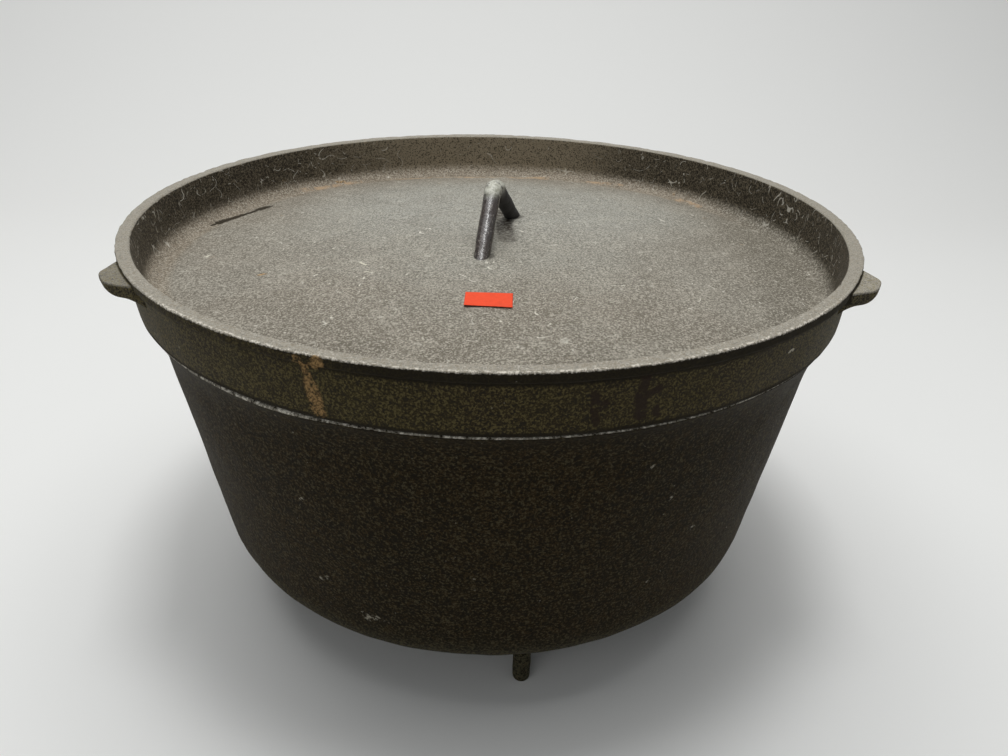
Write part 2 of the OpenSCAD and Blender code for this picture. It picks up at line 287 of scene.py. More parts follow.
def new_piece(name, points, quads, triangles=None):
    """A smooth mesh object from whole arrays of points, four-sided and three-sided faces."""
    triangles = np.zeros((0, 3), int) if triangles is None else triangles
    mesh = bpy.data.meshes.new(name)
    loops = np.concatenate([quads.ravel(), triangles.ravel()]).astype(np.int32)
    sizes = np.concatenate([np.full(len(quads), 4), np.full(len(triangles), 3)]).astype(np.int32)
    starts = np.concatenate([[0], np.cumsum(sizes)[:-1]]).astype(np.int32)
    mesh.vertices.add(len(points))
    mesh.vertices.foreach_set("co", points.astype(np.float32).ravel())
    mesh.loops.add(len(loops))
    mesh.loops.foreach_set("vertex_index", loops)
    mesh.polygons.add(len(sizes))
    mesh.polygons.foreach_set("loop_start", starts)
    mesh.polygons.foreach_set("use_smooth", np.ones(len(sizes), bool))
    mesh.update(calc_edges=True)
    mesh.validate()
    piece = bpy.data.objects.new(name, mesh)
    bpy.context.scene.collection.objects.link(piece)
    return piece


def closed(grid, low_pole, high_pole):
    """Points and faces of a grid whose columns close on themselves, with a point at each end's pole."""
    rows, columns = grid.shape[:2]
    points = np.concatenate([grid.reshape(-1, 3), [low_pole], [high_pole]])
    j = np.arange(columns)
    k = (j + 1) % columns
    last = (rows - 1) * columns
    low = np.stack([k, j, np.full(columns, rows * columns)], 1)
    high = np.stack([last + j, last + k, np.full(columns, rows * columns + 1)], 1)
    return points, grid_faces(rows, columns), np.concatenate([low, high])


def joined(name, shells):
    """One object of several closed shells, each given as closed() gives it."""
    first = np.cumsum([0] + [len(points) for points, _, _ in shells[:-1]])
    return new_piece(name, np.concatenate([s[0] for s in shells]),
                     np.concatenate([s[1] + n for s, n in zip(shells, first)]),
                     np.concatenate([s[2] + n for s, n in zip(shells, first)]))


def spun(outline, columns, centre=(0.0, 0.0)):
    """Surface of revolution: (centre + r cos a, centre + r sin a, z) for each outline point and turn a."""
    a = np.arange(columns) * 2 * np.pi / columns
    r, z = outline[:, :1], outline[:, 1:]
    return np.stack([centre[0] + r * np.cos(a), centre[1] + r * np.sin(a), z + 0 * a], -1)


def push(grid, outline, field):
    """Moves each point of a spun grid along the outline's normal by field, a height for each point."""
    normal = outward(outline)
    flat = np.hypot(grid[..., 0], grid[..., 1])
    out = grid.copy()
    scale = np.where(flat > 1e-9, (flat + normal[:, :1] * field) / np.maximum(flat, 1e-9), 1)
    out[..., 0] *= scale
    out[..., 1] *= scale
    out[..., 2] += normal[:, 1:] * field
    return out


def tube(name, centres, sideways, radii):
    """A closed tube along centres: c + R (cos a n + sin a b), with b across the path's plane and n in it."""
    along = np.gradient(centres, axis=0)
    along /= np.linalg.norm(along, axis=1, keepdims=True)
    b = np.broadcast_to(sideways, along.shape)
    n = np.cross(b, along)
    a = np.arange(radii.shape[1]) * 2 * np.pi / radii.shape[1]
    ring = np.cos(a)[None, :, None] * n[:, None] + np.sin(a)[None, :, None] * b[:, None]
    grid = centres[:, None] + radii[..., None] * ring
    return joined(name, [closed(grid, centres[0], centres[-1])])


# Node wiring

class Wire:
    """A node's socket that takes part in sums: each operator adds a Math node."""

    def __init__(self, paint, socket):
        self.paint, self.socket = paint, socket

    def sum(self, operation, *others, clamp=False):
        """A Math node of this operation on this value and the others."""
        return self.paint.node("ShaderNodeMath", {"operation": operation, "use_clamp": clamp},
                               dict(enumerate([self, *others]))).out(0)

    def __add__(self, other):
        return self.sum("ADD", other)

    def __radd__(self, other):
        return self.sum("ADD", other)

    def __sub__(self, other):
        return self.sum("SUBTRACT", other)

    def __rsub__(self, other):
        return self.paint.node("ShaderNodeMath", {"operation": "SUBTRACT"}, {0: other, 1: self}).out(0)

    def __mul__(self, other):
        return self.sum("MULTIPLY", other)

    def __rmul__(self, other):
        return self.sum("MULTIPLY", other)

    def __pow__(self, other):
        return self.sum("POWER", other)

    def step(self, low, high):
        """Smooth step from 0 at low to 1 at high, where low may be the larger."""
        return self.paint.node("ShaderNodeMapRange", {"interpolation_type": "SMOOTHSTEP"},
                               {"Value": self, "From Min": low, "From Max": high}).out(0)

    def most(self, other):
        """The larger of two values."""
        return self.sum("MAXIMUM", other)


class Node:
    """A node, with its outputs as wires."""

    def __init__(self, paint, node):
        self.paint, self.node = paint, node

    def out(self, key=0):
        return Wire(self.paint, self.node.outputs[key])


class Paint:
    """Builds the nodes of a material or a world. node() adds any node: its settings first, then its inputs."""

    def __init__(self, holder):
        self.holder = holder
        holder.use_nodes = True
        self.tree = holder.node_tree
        self.tree.nodes.clear()

    def node(self, kind, settings=None, inputs=None):
        node = self.tree.nodes.new(kind)
        for key, value in (settings or {}).items():
            setattr(node, key, value)
        for key, value in (inputs or {}).items():
            socket = node.inputs[key]
            if isinstance(value, Wire):
                self.tree.links.new(value.socket, socket)
            elif hasattr(value, "__len__") and len(value) == 3 and socket.type == "RGBA":
                socket.default_value = (*value, 1)
            else:
                socket.default_value = value
        return Node(self, node)

    def vector(self, operation, *inputs, out=0):
        """A Vector Math node."""
        return self.node("ShaderNodeVectorMath", {"operation": operation}, dict(enumerate(inputs))).out(out)

    def mix(self, factor, a, b):
        """Colour a where factor is 0 and b where it is 1."""
        return self.node("ShaderNodeMix", {"data_type": "RGBA", "clamp_factor": True},
                         {0: factor, 6: a, 7: b}).out(2)

    def seen(self):
        """1 for what the camera sees, straight or in a reflection or through glass, and 0 for other light."""
        path = self.node("ShaderNodeLightPath")
        return path.out("Is Camera Ray").most(path.out("Is Glossy Ray")).most(path.out("Is Transmission Ray"))


class Iron(Paint):
    """A material on Object coordinates, with noises, flecks, strokes and bumps of given sizes."""

    def __init__(self, name):
        super().__init__(bpy.data.materials.new(name))
        self.place = self.node("ShaderNodeTexCoord").out("Object")
        apart = self.node("ShaderNodeSeparateXYZ", {}, {0: self.place})
        self.x, self.y, self.z = apart.out(0), apart.out(1), apart.out(2)
        self.radius = (self.x * self.x + self.y * self.y) ** 0.5
        ragged = self.node("ShaderNodeTexNoise", {}, {"Vector": self.place, "Scale": 420.0, "Detail": 3.0,
                                                      "Roughness": 0.7}).out("Color")
        ragged = self.vector("MULTIPLY_ADD", ragged, (3.2 * MM,) * 3, (-1.6 * MM,) * 3)
        self.torn = self.vector("ADD", self.place, ragged)
        self.torn_spot = self.moved(self.torn, 0.0)

    def moved(self, spot, offset):
        """A point moved by an offset. A Mapping node keeps it a point, as the texture nodes want it."""
        return self.node("ShaderNodeMapping", {"vector_type": "POINT"}, {
            "Vector": spot, "Location": (offset, 0.7 * offset, 1.3 * offset)}).out()

    def noise(self, size, detail=2.0, rough=0.5, offset=0.0, twist=0.0):
        """Noise whose lumps are about size across, from 0 to 1, made curly by twist."""
        spot = self.moved(self.place, offset) if offset else self.place
        return self.node("ShaderNodeTexNoise", {}, {
            "Vector": spot, "Scale": 0.5 / size, "Detail": detail, "Roughness": rough,
            "Distortion": twist}).out("Fac")

    def flecks(self, spacing, share, largest, seed):
        """Scattered dots: a share of the cells of about this spacing holds one, up to largest across."""
        spot = self.moved(self.torn_spot, seed)
        cells = self.node("ShaderNodeTexVoronoi", {}, {"Vector": spot, "Scale": 1 / spacing})
        dice = self.node("ShaderNodeSeparateColor", {}, {0: cells.out("Color")})
        reach = (dice.out(1) * 0.7 + 0.3) * (0.5 * largest / spacing)
        near = self.node("ShaderNodeMath", {"operation": "DIVIDE"}, {0: cells.out("Distance"), 1: reach}).out()
        return near.step(1.0, 0.5) * dice.out(0).step(share, share - 0.02)

    def hairs(self, size, width, gate, seed):
        """Fine curved scratches: where one slow noise is close to its middle, and another is over the gate."""
        line = self.noise(size, 1.0, 0.5, seed) - 0.5
        line = line.sum("ABSOLUTE").step(width / size, 0.3 * width / size)
        return line * self.noise(0.35 * size, 2.0, 0.5, seed + 0.37).step(gate, gate + 0.05)

    def strokes(self, marks):
        """1 along each mark, with torn edges, by the distance to the nearest point of its line."""
        total = None
        for start, end, width in marks:
            a, b = np.array(start) * MM, np.array(end) * MM
            along = b - a
            away = self.vector("SUBTRACT", self.torn, tuple(a))
            t = self.vector("DOT_PRODUCT", away, tuple(along / (along @ along)), out=1).sum("ADD", 0.0, clamp=True)
            foot = self.node("ShaderNodeVectorMath", {"operation": "SCALE"}, {0: tuple(along), 3: t}).out()
            gap = self.vector("LENGTH", self.vector("SUBTRACT", away, foot), out=1)
            mark = gap.step(0.6 * width * MM, 0.35 * width * MM)
            total = mark if total is None else total.most(mark)
        return total

    def bump(self, height, depth, normal=None):
        """A Bump node of this depth in metres."""
        inputs = {"Height": height, "Distance": depth, "Strength": 1.0}
        if normal is not None:
            inputs["Normal"] = normal
        return self.node("ShaderNodeBump", {}, inputs).out()

    def finish(self, colour, roughness, normal, **fixed):
        """Ends the material in a Principled shader. fixed holds the sockets that are the same all over."""
        inputs = {"Base Color": colour, "Roughness": roughness, "Normal": normal}
        inputs.update({k.replace("_", " "): v for k, v in fixed.items()})
        shader = self.node("ShaderNodeBsdfPrincipled", {}, inputs)
        self.node("ShaderNodeOutputMaterial", {}, {0: shader.out()})
        return self.holder


# Materials

def pot_iron(colours):
    """Seasoned iron: brown black with a fine grain partly painted as glints, pale specks, a few scuffs, painted shade
    under the lid and a worn bright ledge with painted glints at the rim.
    """
    p = Iron("pot iron")
    patch = p.noise(42 * MM, 4, 0.6)
    grain = p.noise(1.5 * MM, 2.0, 0.9)
    fine = p.noise(0.55 * MM, 1.5, 0.8, offset=0.3)
    coarse = p.noise(5.0 * MM, 3, 0.6, offset=0.5)
    colour = p.mix(patch.step(0.40, 0.70), tuple(colours.body), tuple(colours.body_warm))
    low = p.z.step(POT_LOW.z + 24 * MM, POT_LOW.z + 4 * MM)
    colour = p.mix(low * 0.85, colour, (0.082, 0.078, 0.050))
    # Grain: dark specks, and light specks that are partly painted glints of the cast grain.
    colour = p.mix(grain.step(0.50, 0.38) * 0.8, colour, tuple(colours.soot_and_shade))
    colour = p.mix(grain.step(0.50, 0.64) * 0.4, colour, tuple(2.3 * c for c in colours.body_warm))
    colour = p.mix(fine.step(0.50, 0.40) * 0.9, colour, tuple(0.5 * c for c in colours.soot_and_shade))
    colour = p.mix(fine.step(0.52, 0.66) * 0.65, colour, (0.108, 0.094, 0.056))
    # Painted shade on the wall just under the lid's band, broken up by a coarse noise.
    painted_shade_under_lid = p.z.step(POT_HIGH.z - 9 * MM, POT_HIGH.z - 2 * MM) * coarse.step(0.35, 0.55)
    colour = p.mix(painted_shade_under_lid * 0.5, colour, tuple(colours.soot_and_shade))
    dots = p.flecks(2.2 * MM, 0.12, 0.8 * MM, 0.11) * coarse.step(0.36, 0.56)
    dots = dots.most(p.flecks(6.5 * MM, 0.10, 1.6 * MM, 0.31))
    colour = p.mix(dots * 0.40, colour, tuple(colours.dust))
    scuffs = p.strokes(BODY_SCUFFS) * p.noise(1.2 * MM, 3, 0.7, offset=0.2).step(0.44, 0.60)
    colour = p.mix(scuffs * 0.7, colour, tuple(colours.dust))
    colour = p.mix(p.strokes(BODY_HAIR) * 0.4, colour, tuple(colours.dust))
    # Worn bright metal along the rim's ledge, with painted glints where the sparkle noise is high.
    ledge_low = POT_HIGH.z - 0.62 * MM - p.x.step(-0.045, -0.080) * (0.45 * MM)
    ledge = (p.z - ledge_low).step(-0.1 * MM, 0.1 * MM) * p.radius.step(0.1612, 0.1618)
    sparkle = p.noise(0.9 * MM, 3, 0.8, offset=0.7)
    colour = p.mix(ledge * sparkle.step(0.36, 0.50) * 0.9, colour, tuple(0.85 * c for c in colours.worn))
    colour = p.mix(ledge * sparkle.step(0.53, 0.60), colour, (0.85, 0.82, 0.73))
    rough = 0.66 + 0.08 * patch + 0.10 * (grain - 0.5)
    normal = p.bump(coarse, 0.35 * MM)
    normal = p.bump(grain * 0.6 + fine * 0.4, 0.45 * MM, normal)
    return p.finish(colour, rough, normal, Specular_IOR_Level=0.10, Specular_Tint=(1.0, 0.85, 0.62, 1))


def lid_iron(colours, lid, handle):
    """Coarse iron: grey on the plate with painted sheen and painted shade, tan in the valley, dark inner walls with
    painted light and shade, olive black band with painted shade under the lip and at the seam, worn lip with painted
    glints.
    """
    p = Iron("lid iron")
    top = lid.lip_height
    seat = top - lid.flange
    low = top - lid.lip_deep
    outer = lid.lip_radius - lid.lip_out
    crown = seat + lid.edge + lid.rise
    slope = math.tan(lid.band_lean)
    foot = outer - (low - seat) * slope
    grain = p.noise(1.2 * MM, 2.0, 0.9, twist=0.8)
    fine = p.noise(0.45 * MM, 1.5, 0.8, offset=0.3, twist=0.5)
    coarse = p.noise(4.4 * MM, 3, 0.6, offset=0.6)
    patch = p.noise(34 * MM, 4, 0.62, offset=0.9)
    cloud = p.noise(11 * MM, 4, 0.6, offset=1.3)
    out = p.radius - (p.z - seat) * slope
    under = (p.z + p.radius * p.radius * (lid.rise / lid.lip_radius ** 2)).step(crown - 1.8 * MM, crown - 2.6 * MM)
    outside = out.step(foot - 2.6 * MM, foot - 1.9 * MM)
    # band: the flange's outer face and the plate's underside; its olive black is also painted up the lip's outer face
    # as painted shade under the lip's top.
    band = (outside * p.z.step(top - 0.35 * MM, top - 0.55 * MM)).most(under)
    lug = p.radius.step(lid.lip_radius + 0.2 * MM, lid.lip_radius + 0.7 * MM)
    front = p.y.step(-0.02, -0.08)

    # Plate and valley
    edge = p.radius.step(0.085, 0.150)
    # Painted sheen: the plate is paler and cooler over an oval round its middle, and palest over a smaller one further
    # back.
    painted_sheen = p.vector("LENGTH", p.vector("MULTIPLY", p.vector("SUBTRACT", p.place, (0.005, 0.035, crown)),
                                       (1.0, 1.25, 0.0)), out=1).step(0.145, 0.055)
    plate = p.mix((painted_sheen * 0.9 + patch.step(0.42, 0.64) * 0.4).sum("MINIMUM", 1.0), tuple(colours.plate_warm),
                  tuple(colours.plate))
    plate = p.mix(patch.step(0.52, 0.34) * edge * 0.4, plate, tuple(colours.plate_dark_and_shade))
    # Painted shade on the right of the plate, next to the wall.
    plate = p.mix(p.x.step(0.088, 0.138) * 0.85, plate, tuple(colours.plate_dark_and_shade))
    painted_sheen_core = p.vector("LENGTH", p.vector("MULTIPLY", p.vector("SUBTRACT", p.place, (0.004, 0.066, crown)),
                                       (0.7, 1.15, 0.0)), out=1).step(0.092, 0.040)
    plate = p.mix(painted_sheen_core * 0.8, plate, (0.320, 0.326, 0.296))
    # Painted shade towards the front of the plate, where it shows less sheen.
    plate = p.mix(p.y.step(-0.050, -0.135) * 0.48, plate, tuple(colours.plate_dark_and_shade))
    plate = p.mix(cloud.step(0.50, 0.36) * 0.22, plate, tuple(colours.plate_dark_and_shade))
    plate = p.mix(cloud.step(0.52, 0.66) * 0.20, plate, tuple(colours.worn))
    valley = p.radius.step(0.1480, 0.1530) * p.x.step(0.150, 0.110)
    colour = p.mix(valley * 0.7, plate, tuple(colours.valley))

    # Inner wall, with painted light and painted shade
    # The wall's colour reaches further out on the right, over the valley, as painted shade.
    shaded = p.radius + (p.x.step(0.030, 0.090) - 0.4 * p.x.step(-0.070, -0.120)) * (5.5 * MM)
    sides = shaded.step(0.1550, 0.1585) * p.z.step(seat + 4.0 * MM, seat + 11 * MM)
    far = p.y.step(0.115, 0.155)
    left = p.x.step(-0.095, -0.135)
    wall = p.mix(coarse.step(0.35, 0.65), tuple(0.75 * c for c in colours.wall), tuple(1.35 * c for c in colours.wall))
    # Painted light on the middle of the far wall, and painted shade on the left and right walls.
    wall = p.mix(far * 0.8 * p.x.sum("ABSOLUTE").step(0.165, 0.02), wall, tuple(4.2 * c for c in colours.wall))
    wall = p.mix(left * (1.0 - far) * 0.8, wall, tuple(colours.soot_and_shade))
    wall = p.mix(p.x.step(0.045, 0.100) * 0.68, wall, tuple(colours.soot_and_shade))
    colour = p.mix(sides * 0.95, colour, wall)

    # Band, lip and lug tops
    side = p.mix(patch.step(0.38, 0.66), tuple(colours.band), tuple(colours.body_warm))
    # Painted sheen: the band is paler towards the left and right.
    side = p.mix(p.x.sum("ABSOLUTE").step(0.075, 0.160) * 0.8, side, (0.098, 0.088, 0.060))
    colour = p.mix(band, colour, side)
    lip = p.z.step(top - 0.75 * MM, top - 0.45 * MM) * p.radius.step(0.1608, 0.1618)
    metal = tuple(0.82 * c for c in colours.worn)
    colour = p.mix(lip * 0.9, colour, metal)
    lug_top = lug * p.z.step(top - lid.lug_drop - 1.0 * MM, top - lid.lug_drop - 0.5 * MM)
    colour = p.mix(lug_top, colour, p.mix(p.x.step(0.0, 0.1), tuple(0.52 * c for c in colours.worn),
                                          tuple(0.80 * c for c in colours.worn)))

    # Grain
    smooth = lip.most(lug_top) * 0.35
    shadow = p.mix(band.most(sides), tuple(colours.plate_dark_and_shade), tuple(0.6 * c for c in colours.soot_and_shade))
    # gleam: the light specks of the grain, partly painted glints.
    gleam = p.mix(sides, tuple(colours.worn), tuple(2.6 * c for c in colours.wall))
    gleam = p.mix(band, gleam, (0.142, 0.118, 0.050))
    colour = p.mix(grain.step(0.51, 0.37) * (0.26 + 0.14 * band - smooth * 0.5), colour, shadow)
    colour = p.mix(grain.step(0.50, 0.64) * (0.24 - 0.10 * band), colour, gleam)
    colour = p.mix(fine.step(0.50, 0.38) * (0.78 + 0.1 * band - smooth), colour, shadow)
    colour = p.mix(fine.step(0.50, 0.62) * (0.66 + 0.14 * band), colour, gleam)

    # Painted shade under the lip and over the seam's gap, in soot black
    painted_shade = p.z.step(low - 2.8 * MM, low - 1.2 * MM) * band * (1.0 - lug) * (0.45 + 0.55 * p.x.step(-0.075, -0.030))
    painted_shade = painted_shade.most(p.z.step(seat + 2.8 * MM, seat + 1.6 * MM) * band)
    colour = p.mix(painted_shade * 0.9, colour, tuple(0.8 * c for c in colours.soot_and_shade))

    # Worn and chipped metal with painted glints, scratches and specks
    shine = p.noise(0.6 * MM, 3, 0.8, offset=0.4)
    middle = p.x.sum("ABSOLUTE").step(0.150, 0.115) * front
    # Bright chips along the lip's front edge and specks on its top: worn metal with painted glints where the shine
    # noise is high, strongest at the front.
    chips_and_glints = p.z.step(top - 0.9 * MM, top - 0.6 * MM) * p.radius.step(outer + 0.9 * MM, outer + 1.5 * MM)
    chips_and_glints = chips_and_glints * (1.0 - lug) * middle
    colour = p.mix(chips_and_glints * shine.step(0.48, 0.58), colour, (0.64, 0.60, 0.52))
    colour = p.mix(lip * shine.step(0.56, 0.66) * (0.10 + 0.45 * middle), colour, (0.68, 0.64, 0.56))
    used = p.noise(24 * MM, 3, 0.6, offset=1.7).step(0.44, 0.60)
    bare = (1.0 - band) * (1.0 - lip)
    wiry = sides * (1.0 - far)
    scratched = p.hairs(9 * MM, 0.045 * MM, 0.50, 0.15) * (0.30 + 0.30 * wiry)
    scratched = scratched.most(p.hairs(5 * MM, 0.05 * MM, 0.50, 0.95) * wiry * 0.55)
    scratched = scratched.most(p.hairs(6 * MM, 0.075 * MM, 0.59, 0.65) * (1.0 - sides) * (0.3 + 0.6 * used))
    colour = p.mix(scratched * bare, colour, (0.74, 0.71, 0.62))
    dots = p.flecks(3.4 * MM, 0.10, 0.9 * MM, 0.21).most(p.flecks(8.0 * MM, 0.10, 1.6 * MM, 0.41))
    colour = p.mix(dots * (0.12 + 0.38 * used) * (1.0 - 0.6 * lip), colour, tuple(colours.dust))
    colour = p.mix(p.flecks(5.5 * MM, 0.14, 1.1 * MM, 0.81) * bare * 0.6, colour, tuple(colours.soot_and_shade))

    # Rust, runs and the crack
    tan = p.flecks(9.0 * MM, 0.12, 4.5 * MM, 0.61) * edge * p.noise(1.2 * MM, 3, 0.7, offset=0.2).step(0.46, 0.62)
    streaks = p.strokes(FAR_STREAKS) * p.noise(3.2 * MM, 4, 0.75, offset=0.45).step(0.40, 0.60)
    colour = p.mix(streaks * 0.75, colour, (0.47, 0.33, 0.205))
    rust = (p.strokes(RUST_RUNS).most(p.strokes(TAN_CHIPS))) * p.noise(1.1 * MM, 3, 0.8, offset=0.3).step(0.34, 0.50)
    tones = p.mix(fine.step(0.40, 0.60), tuple(0.30 * c for c in colours.rust), tuple(colours.rust))
    colour = p.mix(rust.most(tan * 0.5 * (1.0 - band)) * 0.92, colour, tones)
    runs = p.strokes(DARK_RUNS) * p.noise(2.0 * MM, 3, 0.7, offset=1.1).step(0.30, 0.44)
    colour = p.mix(runs * 0.9, colour, (0.009, 0.0035, 0.002))
    crack = p.strokes(PLATE_CRACK)
    colour = p.mix(crack * 0.97, colour, (0.017, 0.012, 0.006))
    # Dark stain and painted shadow of the handle on the plate round its legs, darker towards the rear leg.
    stain_and_shadow = p.strokes(PLATE_STAIN_AND_SHADOW) * (0.4 + 0.6 * p.noise(1.1 * MM, 3, 0.7, offset=0.25).step(0.42, 0.54))
    colour = p.mix(stain_and_shadow * (0.62 + 0.35 * p.y.step(0.002, 0.022)), colour, (0.022, 0.015, 0.010))
    colour = p.mix(p.strokes(PALE_NICKS), colour, tuple(colours.dust))
    # Dark rings round the legs' feet: grime and painted contact shade.
    colour = p.mix(p.strokes(handle_feet(handle, crown)) * 0.7, colour, tuple(colours.soot_and_shade))
    rough = 0.48 + 0.12 * patch + 0.14 * (grain - 0.5) + 0.20 * band + 0.15 * painted_shade
    normal = p.bump(coarse, 0.30 * MM)
    normal = p.bump(grain * 0.6 + fine * 0.4, 0.42 * MM, normal)
    normal = p.bump(crack, -0.8 * MM, normal)
    return p.finish(colour, rough, normal, Specular_IOR_Level=0.22, Specular_Tint=(1.0, 0.90, 0.74, 1))


def bar_iron(colours):
    """Wrought bar: glossy brown black, pitted, with pale specks as painted glints, painted shade on the rear leg, and
    pale grey over the top of the bend that is worn metal and a painted highlight.
    """
    p = Iron("bar iron")
    pits = p.noise(1.0 * MM, 3, 0.85)
    top = p.z.step(BAR_HIGH.z - 6.5 * MM, BAR_HIGH.z - 2.5 * MM)
    # The top of the bend is pale grey: worn metal, also standing for a painted highlight.
    worn = top * p.noise(2.2 * MM, 3, 0.7, offset=0.8).step(0.28, 0.50)
    # rear: the rear leg under the bend, which is given painted shade.
    rear = p.y.step(0.009, 0.015) * (1.0 - top)
    colour = p.mix(p.noise(6 * MM, 3).step(0.4, 0.65), tuple(colours.bar), (0.024, 0.012, 0.008))
    # Painted glints: pale specks that stand in for the highlight's sparkle, none on the rear leg.
    colour = p.mix(pits.step(0.57, 0.64) * (1.0 - rear) * 0.40, colour, (0.34, 0.31, 0.27))
    # Painted shade: the rear leg is made near black.
    colour = p.mix(rear * 0.85, colour, (0.004, 0.003, 0.002))
    mottle = p.mix(pits.step(0.40, 0.60), (0.33, 0.33, 0.26), (0.60, 0.60, 0.52))
    colour = p.mix(worn * 0.95, colour, mottle)
    rough = 0.10 + 0.14 * pits.step(0.35, 0.7) + 0.40 * worn + 0.70 * rear
    normal = p.bump(pits, 0.26 * MM)
    return p.finish(colour, rough, normal, Specular_IOR_Level=0.72)


def label_paper(colours):
    """Bare matt paper in orange, with a faint fibre grain."""
    p = Iron("label paper")
    fibre = p.noise(0.8 * MM, 4, 0.7)
    pale = tuple(min(1.0, c * 1.12 + 0.01) for c in colours.label)
    colour = p.mix(fibre.step(0.3, 0.7) * 0.6, tuple(colours.label), pale)
    smudge = p.noise(5.0 * MM, 3, 0.6, offset=0.4).step(0.46, 0.64)
    colour = p.mix(smudge * 0.25, colour, tuple(0.6 * c for c in colours.label))
    return p.finish(colour, 0.55 + 0.1 * fibre, p.bump(fibre, 0.04 * MM), Specular_IOR_Level=0.3)


def stage_paint(stage):
    """Plain pale matt floor, darker to the light that it throws back on the iron, clear from below."""
    p = Paint(bpy.data.materials.new("stage"))
    shader = p.node("ShaderNodeBsdfPrincipled", {}, {
        "Base Color": p.mix(p.seen(), tuple(stage.floor_bounce), tuple(stage.floor)),
        "Roughness": 0.9, "Specular IOR Level": 0.0})
    from_below = p.node("ShaderNodeNewGeometry").out("Backfacing") * p.node("ShaderNodeLightPath").out("Is Camera Ray")
    clear = p.node("ShaderNodeBsdfTransparent")
    both = p.node("ShaderNodeMixShader", {}, {0: from_below, 1: shader.out(), 2: clear.out()})
    p.node("ShaderNodeOutputMaterial", {}, {0: both.out()})
    return p.holder


def studio_air(stage):
    """A world that gives a weak even light, and is pale where the camera or a reflection sees it."""
    p = Paint(bpy.data.worlds.new("studio"))
    light = tuple(stage.sky * c for c in (0.95, 0.98, 1.0))
    air = p.node("ShaderNodeBackground", {}, {"Color": p.mix(p.seen(), light, (0.70, 0.705, 0.69)), "Strength": 1.0})
    p.node("ShaderNodeOutputWorld", {}, {0: air.out()})
    return p.holder


# Operators

def wear(piece, material, body, slot, *nodes):
    """Gives a piece its material and its body, and hides the solids that it stands for. The slot is not used."""
    piece.data.materials.append(material)
    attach(piece, body)
    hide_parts(*nodes)
    return piece


class CAMPOVEN_OT_pot(bpy.types.Operator):
    """Pot: outline from the underside up the leaning wall and the flared rim, down inside, spun and made uneven"""
    bl_idname = "campoven.pot"
    bl_label = "Pot"

    def execute(self, context):
        s = context.scene.camp_oven_pot
        slope = math.tan(s.lean)
        rim = s.rim_radius - s.flare
        mouth = rim - s.wall / math.cos(s.lean)

        def wall(z):
            return rim - (s.rim_height - z) * slope

        low, floor = s.foot_height, s.foot_height + s.floor
        down = np.linspace(s.flare_height, 0, 14)[:-1]
        flare = [(wall(s.rim_height - d) + s.flare * (1 - d / s.flare_height) ** 2,
                  s.rim_height - d, 0) for d in down]
        outline = rounded([
            (0.6 * MM, low, 0), (wall(low), low, s.corner), *flare,
            (s.rim_radius, s.rim_height, 0.8 * MM), (mouth, s.rim_height, 1.5 * MM),
            (mouth - (s.rim_height - floor) * slope, floor, s.corner - s.wall),
            (0.6 * MM, floor, 0)])

        def spacing(r, z):
            if z > s.rim_height - 3 * MM:
                return 0.8 * MM
            return (1.9 if r > wall(z) - 2 * MM and z > low + MM else 4.5) * MM

        outline = spaced(outline, spacing)
        grid = spun(outline, 480)
        r, z = outline[:, :1], outline[:, 1:]
        at_rim = np.clip((z - s.rim_height + 3 * MM) / (2 * MM), 0, 1)
        field = s.uneven * (0.6 * waves(grid, 0.060, 3) + 0.3 * waves(grid, 0.016, 4)) * (1 - 0.6 * at_rim)
        around = np.arctan2(grid[..., 1], grid[..., 0])
        outer = np.clip((r - mouth - 5 * MM) / (2 * MM), 0, 1) * np.clip((z - s.rim_height + 5 * MM) / (4 * MM), 0, 1)
        front_left = math.radians(-118)
        bulge = 0.35 + np.exp(-((around - front_left) / 0.20) ** 2) + 0.35 * np.exp(-((around - front_left - 0.55) / 0.45) ** 2)
        grid = push(grid, outline, field)
        scale = 1 + s.ledge * outer * bulge / np.hypot(grid[..., 0], grid[..., 1])
        grid[..., :2] *= scale[..., None]
        piece = joined("pot_casting", [closed(grid, (0, 0, low), (0, 0, floor))])
        wear(piece, pot_iron(context.scene.camp_oven_colours), "pot", "pot_iron", "pot")
        return {"FINISHED"}


class CAMPOVEN_OT_feet(bpy.types.Operator):
    """Feet: a rounded peg outline with a flare against the pot's underside, spun round each foot's own axis"""
    bl_idname = "campoven.feet"
    bl_label = "Feet"

    def execute(self, context):
        s = context.scene.camp_oven_pot
        material = bpy.data.materials.get("pot iron") or pot_iron(context.scene.camp_oven_colours)
        land = s.foot_height - 0.5 * MM
        outline = spaced(rounded([
            (0.2 * MM, 0, 0), (s.foot_tip, 0, 2.0 * MM), (s.foot_neck, land, 1.7 * MM),
            (s.foot_root, land, 0), (s.foot_root, s.foot_height, 0), (0.2 * MM, s.foot_height, 0)]),
            lambda r, z: 0.7 * MM)
        for seed, node in enumerate(("front_foot", "left_foot", "right_foot")):
            low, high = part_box(node)
            x, y = (low.x + high.x) / 2, (low.y + high.y) / 2
            grid = spun(outline, 48)
            z = outline[:, 1:]
            shank = np.clip(z / (4 * MM), 0, 1) * np.clip((land - z) / (3 * MM), 0, 1)
            grid = push(grid, outline, 0.12 * MM * shank * waves(grid, 0.009, 20 + seed))
            grid[..., 0] += x
            grid[..., 1] += y
            piece = joined(node + "_peg", [closed(grid, (x, y, 0), (x, y, s.foot_height))])
            wear(piece, material, "pot", "pot_iron", node)
        return {"FINISHED"}


